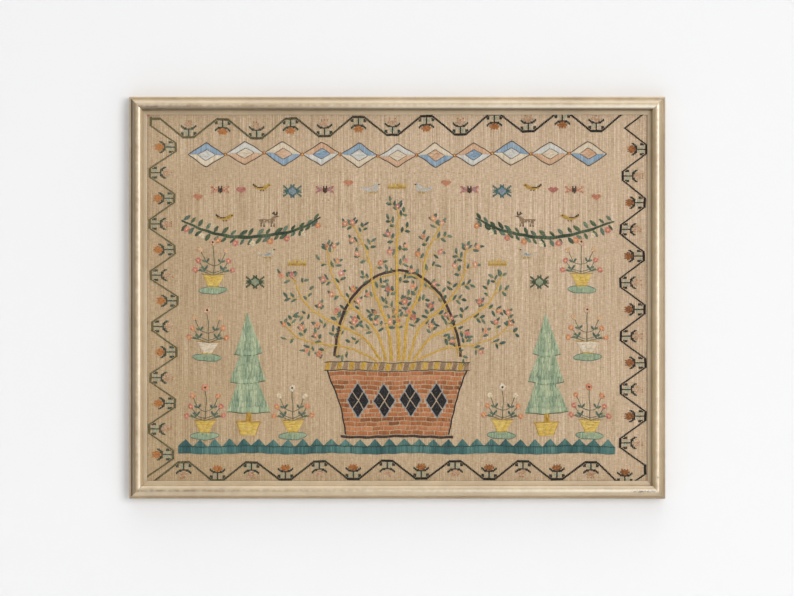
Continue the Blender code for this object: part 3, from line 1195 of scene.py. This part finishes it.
def work_basket_rim():
    """The plaited rim: leaning bars in gold and fawn between two dark lines."""
    wide = 2 * PLAIT_HALF / PLAITS
    top = BASKET_RIM + PLAIT_HIGH
    for number in range(PLAITS):
        left = -PLAIT_HALF + number * 2 * PLAIT_HALF / PLAITS
        right = left + wide
        plait = [(left, BASKET_RIM), (right - PLAIT_LEAN, BASKET_RIM)]
        plait += [(right, top), (left + PLAIT_LEAN, top)]
        skein, lean = ("fawn", 62) if number % 2 else ("gold", 118)
        satin(skein, plait, lean, tone=0.45)
    half = PLAIT_HALF + 0.6
    for up in (BASKET_RIM - 0.3, top + 0.5):
        stem_line("jet", [(-half, up), (0, up - 0.5), (half, up)], 0.6)


def work_handle():
    turns = np.linspace(0.05, math.pi - 0.05, 26)
    for skein, half, high, width, rows, tone in (
        ("umber", HANDLE_HALF, HANDLE_HIGH, 0.62, 4, 0.55),
        ("gold", HANDLE_HALF - 2.4, HANDLE_HIGH - 2.6, 0.6, 2, 0.5),
    ):
        hoop = [(half * math.cos(t), HANDLE_UP + high * math.sin(t)) for t in turns]
        stem_line(skein, hoop, width, rows=rows, tone=tone)


def work_basket():
    """A basket of brick-like courses with dark lozenges, a plaited rim, a foot and a tall handle."""
    work_courses()
    work_panels()
    for side in (1, -1):
        edge = [(side * (basket_half(up) + 0.9), up) for up in np.linspace(BASKET_FOOT, BASKET_RIM, 8)]
        stem_line("jet", edge, 0.62, rows=2)
    work_basket_rim()
    satin("umber", boxed(-FOOT_HALF, BASKET_FOOT - 2.9, FOOT_HALF, BASKET_FOOT - 0.6), tone=0.6)
    work_handle()


# The right-hand stems of the bouquet: the rows of thread each has, and the places it passes through
BOUQUET = [
    # rows, places
    (6, [(1.0, -54.0), (0.5, -20.0), (-0.6, 18.0), (0.4, 54.0), (0.0, 78.0)]),
    (5, [(5.0, -54.0), (9.0, -22.0), (20.0, 8.0), (26.0, 38.0), (38.0, 64.0)]),
    (4, [(9.0, -54.0), (20.0, -26.0), (42.0, -4.0), (56.0, 18.0), (60.0, 44.0)]),
    (4, [(13.0, -54.0), (30.0, -34.0), (58.0, -20.0), (80.0, -4.0), (90.0, 20.0)]),
    (3, [(17.0, -54.0), (40.0, -44.0), (64.0, -40.0), (84.0, -34.0), (97.0, -22.0)]),
]
FIRST_TWIG = 26.0
TWIG_EVERY = 7.5


def work_bouquet():
    """Golden stems that fan out of the basket, their twigs dressed with leaves and round flowers."""
    for side in (-1, 1):
        for number, (rows, places) in enumerate(BOUQUET):
            # The upright stem in the middle is worked once
            if number == 0 and side < 0:
                continue
            stem = smooth_path([(side * x, z) for x, z in places])
            stem_line("gold", stem[::6], 0.62, rows=rows, taper=0.25)
            work_twigs(stem)
            dress_twig(stem[-12], stem[-1], 90)


def work_twigs(stem):
    """Short twigs off a stem, to its left and right in turn."""
    run = run_along(stem)
    at, hand = FIRST_TWIG, 1
    while at < run[-1] - 3:
        spot, ahead = place_at(stem, run, np.array([at, at + 2]))
        heading = math.degrees(math.atan2(*(ahead - spot)[::-1]))
        twig_way = math.radians(heading + hand * chance.uniform(38, 58))
        long = chance.uniform(9, 14)
        tip = spot + long * np.array([math.cos(twig_way), math.sin(twig_way)])
        bend = (spot + tip) / 2 + chance.normal(0, 0.8, 2)
        stem_line("gold", [spot, bend, tip], 0.55, tone=0.6)
        dress_twig(spot, tip, math.degrees(twig_way))
        hand = -hand
        at += TWIG_EVERY * chance.uniform(0.85, 1.15)


def dress_twig(base, tip, heading):
    """Leaves on both sides of a twig and, on many, a flower at its end."""
    flower = chance.random()
    if flower < 0.62:
        skein = "coral" if flower < 0.4 else "rose"
        heart = ("yellow", "ivory", "orange")[chance.integers(3)]
        bloom(skein, heart, *tip, chance.uniform(2.2, 3.0), tone=chance.uniform(0.4, 0.8))
    for share, turn in ((0.35, 52), (0.55, -50), (0.8, 46), (1.0, -36)):
        if chance.random() < 0.16:
            continue
        foot = base + (tip - base) * share
        lean = heading + turn + chance.uniform(-12, 12)
        long, wide = chance.uniform(4.6, 6.6), chance.uniform(2.0, 2.7)
        leaf("teal_leaf", *foot, lean, long, wide, tone=chance.uniform(0.25, 0.75))


# The clipped trees, either side of the basket. A tier, the trunk and the pot each have their foot and top with
# half their width there.
TREE_ACROSS = 128.0
TREE_TIERS = [
    # low, half_low, high, half_high
    (-98.0, 19.0, -70.0, 8.0),
    (-72.0, 15.5, -46.0, 6.0),
    (-48.0, 12.0, -14.0, 0.3),
]
TIER_SAG = 1.6
TRUNK = (-107.0, 2.2, -99.0, 2.2)
TREE_POT = (-118.5, 6.2, -107.5, 9.6)
POT_RIM_HALF = 10.8


def tree_blend(across, up):
    return 0.16 * math.sin(across * 0.55) + 0.1 * math.sin(up * 0.3)


def work_trees():
    """Two clipped trees in long and short stitch, each in a golden pot."""
    for side in (-1, 1):
        middle = side * TREE_ACROSS
        for low, half_low, high, half_high in TREE_TIERS:
            left, right, *top = flared(middle, low, half_low, high, half_high)
            tier = [left, (middle, low - TIER_SAG), right, *top]
            satin("sea_green", tier, reach=5.5, spread=0.22, slope=tree_blend)
            stem_line("forest", [left, (middle, low - TIER_SAG - 0.2), right], 0.6, tone=0.55)
        satin("gold", flared(middle, *TRUNK), tone=0.35)
        pot = flared(middle, *TREE_POT)
        satin("yellow", pot, 0, reach=7)
        stem_line("gold", level(middle, POT_RIM_HALF, TRUNK[0]), 0.7, rows=2, straight=True, tone=0.3)
        stem_line("gold", [pot[1], pot[2]], 0.5, straight=True, tone=0.2)
        stem_line("gold", [pot[0], pot[3]], 0.5, straight=True, tone=0.2)


# The small pots of flowers: where each stands, and the silks of its pot and flowers
POTS = [
    # across, up, pot, first, second
    (165.0, -117.0, "yellow", "rose", "coral"),
    (163.0, -50.0, "ivory", "coral", "faded_pink"),
    (90.0, -117.0, "yellow", "coral", "ivory"),
    (158.0, 8.0, "yellow", "rose", "faded_pink"),
]

# Side stalks of a small pot: where each leaves the middle one, its tip out and up, and which silk it has
STALKS = [
    # rise, out, top, silk
    (15, 13, 24, 0),
    (21, 11, 33, 1),
    (13, 16, 16, 0),
]


def work_pot_flowers(middle, up, silks):
    """One stalk upright and three bent to either side, each with a flower, and leaves where they bend."""
    stem_line("forest", [(middle, up + 12), (middle + 0.5, up + 26), (middle, up + 38)], 0.5, tone=0.45)
    bloom(silks[1], "umber", middle, up + 40, 3.2)
    for hand in (-1, 1):
        for rise, out, top, silk in STALKS:
            tip = (middle + hand * out, up + top)
            bend = (middle + hand * out * 0.55, up + rise + 1.5)
            stem_line("forest", [(middle, up + rise - 1), bend, tip], 0.46)
            bloom(silks[silk], "yellow", *tip, 2.5)
            leaf("teal_leaf", *bend, 90 - hand * 64, 4.6, 1.9, 0.6)
            leaf("teal_leaf", *bend, 90 + hand * 30, 4.2, 1.8, 0.4)


def work_pots():
    """Four small pots of flowers on either side, each on a green mound."""
    for side in (-1, 1):
        for across, up, pot, *silks in POTS:
            middle = side * across
            mound = oval(middle, up - 1.2, 12.5, 3.2)
            satin("sea_green", mound, tone=0.35)
            stem_line("teal", mound[::2], 0.5, closed=True, tone=0.3)
            satin(pot, flared(middle, up + 2.4, 4.0, up + 12.0, 9.4), 0)
            satin("gold", boxed(middle - 4.6, up + 1.0, middle + 4.6, up + 3.6), tone=0.45)
            stem_line("gold", level(middle, 10.4, up + 12.4), 0.55, straight=True, tone=0.25)
            work_pot_flowers(middle, up, silks)


SWAG = [(186.0, 66.0), (160.0, 56.5), (126.0, 52.0), (92.0, 57.0), (66.0, 69.0)]


def swag_blend(across, _):
    return 0.2 * math.sin(across * 0.21)


def work_swags():
    """A green garland either side of the bouquet, thick with leaves and hung with flowers."""
    for side in (-1, 1):
        middle = smooth_path([(side * x, z) for x, z in SWAG])
        half = 0.6 + 0.9 * np.sin(np.pi * np.linspace(0, 1, len(middle))) ** 0.7
        thick = np.column_stack([np.zeros(len(middle)), half])
        outline = np.vstack([middle + thick, (middle - thick)[::-1]])
        satin("forest", outline[::4], 90 - side * 8, tone=0.42, slope=swag_blend)
        for number, place in enumerate(middle[6::9]):
            hand = (-1) ** number
            skein = "forest" if number % 3 else "teal_leaf"
            long = chance.uniform(6.0, 8.4)
            heading = hand * 90 + side * 42 + chance.uniform(-14, 14)
            leaf(skein, *(place + (0, hand * 1.2)), heading, long, long * 0.4, chance.uniform(0.4, 0.8))
            if number % 4 == 1:
                bloom(("coral", "rose", "ivory")[number % 3], "yellow", *(place + (0, hand * 5.6)), 2.8)


# The chain of lozenges along the top
CHAIN_UP = 123.0
CHAIN_HALF = 180.0
LINKS = 11
LINK_HIGH = 10.0
LINK_SILKS = ("sky", "white", "ivory", "faded_pink")


def work_top_chain():
    """Long lozenges in blue, white, cream and pink, one inside the other, ringed in dark stem stitch."""
    wide = 2 * CHAIN_HALF / LINKS
    reach = wide / 2 - 0.9
    for number in range(LINKS):
        middle = -CHAIN_HALF + wide * (number + 0.5)
        up = CHAIN_UP + math.sin(number * 0.9)
        upper, inner, lower = [LINK_SILKS[(number + turn) % 4] for turn in range(3)]
        for skein, over in ((lower, -1), (upper, 1)):
            half = [(middle - reach, up), (middle - reach / 2, up), (middle, up + over * LINK_HIGH / 2)]
            half += [(middle + reach / 2, up), (middle + reach, up), (middle, up + over * LINK_HIGH)]
            satin(skein, half, reach=5.5, tone=0.55)
        satin(inner, lozenge(middle, up, reach / 2 - 0.3, LINK_HIGH / 2 - 0.4), 0, tone=0.55)
        outer_ring = lozenge(middle, up, wide / 2 - 0.3, LINK_HIGH + 0.6)
        inner_ring = lozenge(middle, up, reach / 2, LINK_HIGH / 2)
        stem_line("umber", outer_ring, 0.56, closed=True, straight=True)
        stem_line("umber", inner_ring, 0.42, closed=True, straight=True, tone=0.6)
        if number:
            bloom("orange", "yellow", middle - wide / 2, up, 1.9, petals=7)


# The spot motifs, each row of letters a row of squares. A mirrored one is charted to its axis.

CROWN = [
    ".....y.",
    "y..y.y.",
    "yy.yyyo",
    "yyyyyyy",
    "gggoggg",
    "ggggggg",
]
BUTTERFLY = [
    "pp...u.",
    "ppbp.u.",
    ".ppbpuu",
    "..pppuu",
    ".pbppuu",
    "ppp..uu",
    "p.....u",
]
HEART = [
    ".rr.",
    "rrrr",
    "rrrr",
    ".rrr",
    "..rr",
    "...r",
]
STAR = [
    ".....t.",
    "t....tt",
    "tt...tt",
    ".tt.tts",
    "..tttss",
    "ttttsss",
    ".tttssk",
    "ttttsss",
    "..tttss",
    ".tt.tts",
    "tt...tt",
    "t....tt",
    ".....t.",
]
DOVE = [
    "..........ww.",
    ".........wwkg",
    "........www..",
    "w......wwww..",
    "ww...wwwwww..",
    "wwwwwwwiiww..",
    ".wwwwiiiwww..",
    "...wwwwwww...",
    "......g.g....",
    ".....gg.gg...",
]
SPARROW = [
    "u.........gg.",
    "uu.......ggkg",
    "guu....ggggg.",
    ".gguuuugggg..",
    "..gggggggg...",
    "....gggg.....",
    ".....u.u.....",
]
STAG = [
    "..........u.u.",
    ".........uu.u.",
    "..........uuu.",
    "...........gg.",
    "..........ggkg",
    ".........ggg..",
    "w.......ggg...",
    "ggggggggggg...",
    "gggigggiggg...",
    ".ggggigggg....",
    ".gg.....gg....",
    ".g.g....g.g...",
    ".g.g....g.g...",
    ".u.u....u.u...",
]

# The spot motifs on the right-hand side: rows, silks, place, and how each is drawn
SPOTS = [
    # rows, key, across, up, mirror
    (CROWN, {"y": "yellow", "g": "gold", "o": "orange"}, 0.0, 94.0, True),
    (DOVE, {"w": "white", "i": "ivory", "g": "gold", "k": "jet"}, 22.0, 90.0, False),
    (HEART, {"r": "coral"}, 42.0, 96.0, True),
    (BUTTERFLY, {"p": "rose", "b": "sky", "u": "umber"}, 62.0, 90.0, True),
    (STAR, {"t": "teal", "s": "sky", "k": "coral"}, 90.0, 86.0, True),
    (SPARROW, {"u": "umber", "g": "gold", "k": "jet"}, 116.0, 92.0, False),
    (HEART, {"r": "rose"}, 134.0, 90.0, True),
    (BUTTERFLY, {"p": "coral", "b": "ivory", "u": "umber"}, 152.0, 90.0, True),
    (STAG, {"u": "umber", "g": "fawn", "w": "ivory", "i": "ivory", "k": "jet"}, 110.0, 61.5, False),
    (SPARROW, {"u": "umber", "g": "gold", "k": "jet"}, 148.0, 66.0, False),
    (HEART, {"r": "coral"}, 171.0, 84.0, True),
    (CROWN, {"y": "yellow", "g": "gold", "o": "rose"}, 86.0, 28.0, True),
    (STAR, {"t": "forest", "s": "sea_green", "k": "coral"}, 122.0, 8.0, True),
    (DOVE, {"w": "ivory", "i": "sky", "g": "gold", "k": "jet"}, 112.0, 34.0, False),
]

# Two rows of small dots across the middle, above and below the spot motifs there
DOTTED_ROWS = (107.6, 84.0)


def work_spots():
    """Small traditional motifs in cross stitch, each with its twin on the other side."""
    for rows, key, across, up, mirror in SPOTS:
        work_chart(rows, key, across, up, mirror=mirror, flip=not mirror)
        if across:
            work_chart(rows, key, -across, up, mirror=mirror)
    dots = np.arange(-56, 57, 4)
    for up in DOTTED_ROWS:
        work_crosses("faded_pink", dots, 0.8 * np.sin(dots * 0.4), even_chart(0.0, up), 0.3)


# Threads as meshes

LONG_STITCH = 3.4
SHORT_RINGS = 2
LONG_RINGS = 3
THREAD_SIDES = 4

# How a thread lies, in millimetres: the arch of its middle, with so much more for each millimetre of length
# up to the longest that arches more, and its lift off the cloth. Then how high it is for its width.
ARCH = 0.05
ARCH_GAIN = 0.022
ARCH_LONGEST = 7
LIFT = 0.1
THREAD_HIGH = 0.62


def thread_form(rings):
    """One stitch along X from -0.5 to 0.5, which swells from one needle hole and sinks into the other."""
    bm = bmesh.new()
    bmesh.ops.create_uvsphere(bm, u_segments=THREAD_SIDES, v_segments=rings + 1, radius=0.5)
    quarter = Matrix.Rotation(math.pi / 2, 3, "Y")
    bmesh.ops.rotate(bm, verts=bm.verts, cent=(0, 0, 0), matrix=quarter)
    for vert in bm.verts:
        share = abs(vert.co.x) * 2
        if share < 0.99:
            around = Vector((vert.co.y, vert.co.z)).normalized() * 0.5
            along = math.copysign(share**0.45 / 2, vert.co.x) if share > 0.01 else 0.0
            vert.co = (along, around.x, around.y)
    bmesh.ops.recalc_face_normals(bm, faces=bm.faces)
    bmesh.ops.triangulate(bm, faces=bm.faces)
    verts = np.array([vert.co for vert in bm.verts])
    faces = np.array([[vert.index for vert in face.verts] for face in bm.faces])
    bm.free()
    return verts, faces


def threads_as_mesh(bars, form):
    """The points, faces, tones and places along the thread of many stitches of one form."""
    form_verts, form_faces = form
    along, beside, out = form_verts.T
    start, end = bars[:, 0:2], bars[:, 2:4]
    width, tone, sit = bars[:, 4:5], bars[:, 5], bars[:, 6:7]
    way = end - start
    length = np.hypot(way[:, 0], way[:, 1])[:, None]
    way = way / np.maximum(length, 1e-6)
    side = np.column_stack([-way[:, 1], way[:, 0]])
    middle = (start + end) / 2
    across = middle[:, :1] + way[:, :1] * length * along + side[:, :1] * width * beside
    up = middle[:, 1:] + way[:, 1:] * length * along + side[:, 1:] * width * beside
    arch = ARCH + ARCH_GAIN * np.minimum(length, ARCH_LONGEST)
    lift = sit + arch * (1 - (2 * along) ** 2) + out * width * THREAD_HIGH + LIFT
    height = cloth_face(across, up) + lift
    points = np.stack([MIDDLE.x + across * MM, -height * MM, MIDDLE.z + up * MM], axis=-1)
    offsets = np.arange(len(bars))[:, None, None] * len(form_verts)
    faces = form_faces[None] + offsets
    start_at = chance.uniform(0, 50, (len(bars), 1))
    places = np.stack([start_at + along * length, start_at + beside * width], axis=-1)
    tones = np.repeat(tone, len(form_verts))
    return points.reshape(-1, 3), faces.reshape(-1, 3), tones, places.reshape(-1, 2)


def make_skein(name, colours, short_form, long_form):
    """All the stitches of one silk as one mesh."""
    bars = np.concatenate(skeins[name])
    long = np.hypot(*(bars[:, 2:4] - bars[:, 0:2]).T) >= LONG_STITCH
    parts = []
    base = 0
    for chosen, form in ((bars[~long], short_form), (bars[long], long_form)):
        if len(chosen):
            points, faces, tones, places = threads_as_mesh(chosen, form)
            parts.append((points, faces + base, tones, places))
            base += len(points)
    points, faces, tones, places = (np.concatenate(group) for group in zip(*parts))
    mesh = bpy.data.meshes.new("silk_" + name)
    mesh.vertices.add(len(points))
    mesh.vertices.foreach_set("co", points.ravel())
    mesh.loops.add(faces.size)
    mesh.loops.foreach_set("vertex_index", faces.ravel().astype(np.int32))
    mesh.polygons.add(len(faces))
    mesh.polygons.foreach_set("loop_start", np.arange(0, faces.size, 3, dtype=np.int32))
    mesh.update(calc_edges=True)
    mesh.attributes.new("tone", "FLOAT", "POINT").data.foreach_set("value", tones)
    layer = mesh.uv_layers.new(name="Along")
    layer.data.foreach_set("uv", places[faces.ravel()].ravel())
    mesh.shade_smooth()
    return add_piece(mesh, "silk_" + name, make_silk_material(name, *colours))


def make_embroidery():
    """Every thread laid, from the border to the spot motifs, and then each silk's threads as one piece."""
    work_border()
    work_foot_band()
    work_basket()
    work_bouquet()
    work_trees()
    work_pots()
    work_swags()
    work_top_chain()
    work_spots()
    forms = [thread_form(rings) for rings in (SHORT_RINGS, LONG_RINGS)]
    return [make_skein(name, colours, *forms) for name, colours in SILKS.items()]


# Stage, light and camera

PHOTO_WIDTH = 794
MM_PER_PIXEL = 0.8579
CAMERA_AWAY = 2.6
CAMERA_SHIFT = -0.0002
SENSOR = 36.0
WALL_BEHIND = 0.0006
FLOOR_DOWN = -1.6

# The room's lamps: where each stands from the frame's middle, its size and its power
LAMPS = [
    # name, place, size, power
    ("key", (3.8, -6.6, 1.2), 4.0, 237),
    ("top", (0.5, -1.5, 3.8), 1.8, 6),
    ("back", (0.6, 2.0, 1.0), 1.6, 45),
]

# The strength of the room's light from each way, and of the pale backdrop that shows beyond the wall
ROOM_BASE = 0.1
ROOM_FRONT = 0.4
ROOM_RIGHT = 0.22
ROOM_ABOVE = 1.8
ROOM_BELOW = 0.38
BACKDROP = 0.78


def make_wall_material():
    """Pale matt paint. A view from behind goes through it."""
    material, tree, shader = new_tree("pale_wall")
    set_shader(tree, shader, Base_Color=(0.86, 0.86, 0.865, 1), Roughness=0.95, Specular_IOR_Level=0.1)
    clear = tree.nodes.new("ShaderNodeBsdfTransparent")
    behind = tree.nodes.new("ShaderNodeNewGeometry").outputs["Backfacing"]
    paint = shader.outputs["BSDF"]
    blend = add_node(tree, "ShaderNodeMixShader", i0=behind, i1=paint, i2=clear.outputs["BSDF"])
    tree.links.new(blend.outputs["Shader"], tree.nodes["Material Output"].inputs["Surface"])
    return material


def make_floor_material():
    material, tree, shader = new_tree("pale_floor")
    set_shader(tree, shader, Base_Color=(0.72, 0.72, 0.72, 1), Roughness=0.9)
    return material


def make_stage_sheet(name, size, place, tilt_deg, material):
    """A flat sheet of the stage, turned up or left level."""
    bm = bmesh.new()
    bmesh.ops.create_grid(bm, x_segments=1, y_segments=1, size=size / 2)
    turn = Matrix.Rotation(math.radians(tilt_deg), 4, "X")
    bmesh.ops.transform(bm, matrix=Matrix.Translation(Vector(place)) @ turn, verts=bm.verts)
    mesh = as_mesh(bm, name)
    mesh.materials.append(material)
    return add_object(name, mesh)


def make_stage():
    """A pale wall just behind the frame, which casts no shadow, and a pale floor below it."""
    wall = make_stage_sheet("wall", 4.0, (0, WALL_BEHIND, 0), 90, make_wall_material())
    wall.visible_shadow = False
    floor = make_stage_sheet("floor", 8.0, (0, 0, FLOOR_DOWN), 0, make_floor_material())


def make_lamps():
    for name, place, size, power in LAMPS:
        data = bpy.data.lights.new(name, "AREA")
        data.shape = "DISK"
        data.size = size
        data.energy = power
        lamp = add_object(name, data)
        lamp.location = MIDDLE + Vector(place)
        lamp.rotation_euler = (-Vector(place)).to_track_quat("-Z", "Y").to_euler()


def make_room():
    """The room's own soft light: a bright ceiling, a bright front, the right brighter than the left."""
    world = bpy.data.worlds.new("room")
    world.use_nodes = True
    tree = world.node_tree
    way = split(tree, add_node(tree, "ShaderNodeTexCoord").outputs["Generated"])
    above = maths(tree, "MAXIMUM", way["Z"], 0.0)
    below = maths(tree, "MAXIMUM", maths(tree, "MULTIPLY", way["Z"], -1.0), 0.0)
    ahead = maths(tree, "MAXIMUM", maths(tree, "MULTIPLY", way["Y"], -1.0), 0.0)
    strength = maths(tree, "MULTIPLY_ADD", between(tree, way["X"], -0.9, 1.0), ROOM_RIGHT, ROOM_BASE)
    sides = ((ahead, 2.0, ROOM_FRONT), (above, 3.0, ROOM_ABOVE), (below, 3.0, ROOM_BELOW))
    for side, tightness, share in sides:
        strength = maths(tree, "MULTIPLY_ADD", maths(tree, "POWER", side, tightness), share, strength)
    seen = tree.nodes.new("ShaderNodeLightPath").outputs["Is Camera Ray"]
    strength = maths(tree, "MULTIPLY_ADD", seen, maths(tree, "SUBTRACT", BACKDROP, strength), strength)
    feed(tree, tree.nodes["Background"], {"Color": (1, 1, 1, 1), "Strength": strength})
    bpy.context.scene.world = world


def make_camera():
    data = bpy.data.cameras.new("camera")
    data.sensor_width = SENSOR
    data.lens = SENSOR * CAMERA_AWAY / (PHOTO_WIDTH * MM_PER_PIXEL * MM)
    data.clip_end = 20
    camera = add_object("camera", data)
    camera.location = MIDDLE + Vector((CAMERA_SHIFT, -CAMERA_AWAY - RIM_HEIGHT * MM, CAMERA_SHIFT))
    camera.rotation_euler = (math.pi / 2, 0, 0)
    bpy.context.scene.camera = camera
    bpy.context.scene.view_settings.view_transform = "Standard"


make_camera()
make_moulding()
ground = make_ground()
threads = make_embroidery()
board = bpy.data.objects["backing_board"]
board.data.materials.clear()
board.data.materials.append(make_board_material())
make_stage()
make_lamps()
make_room()
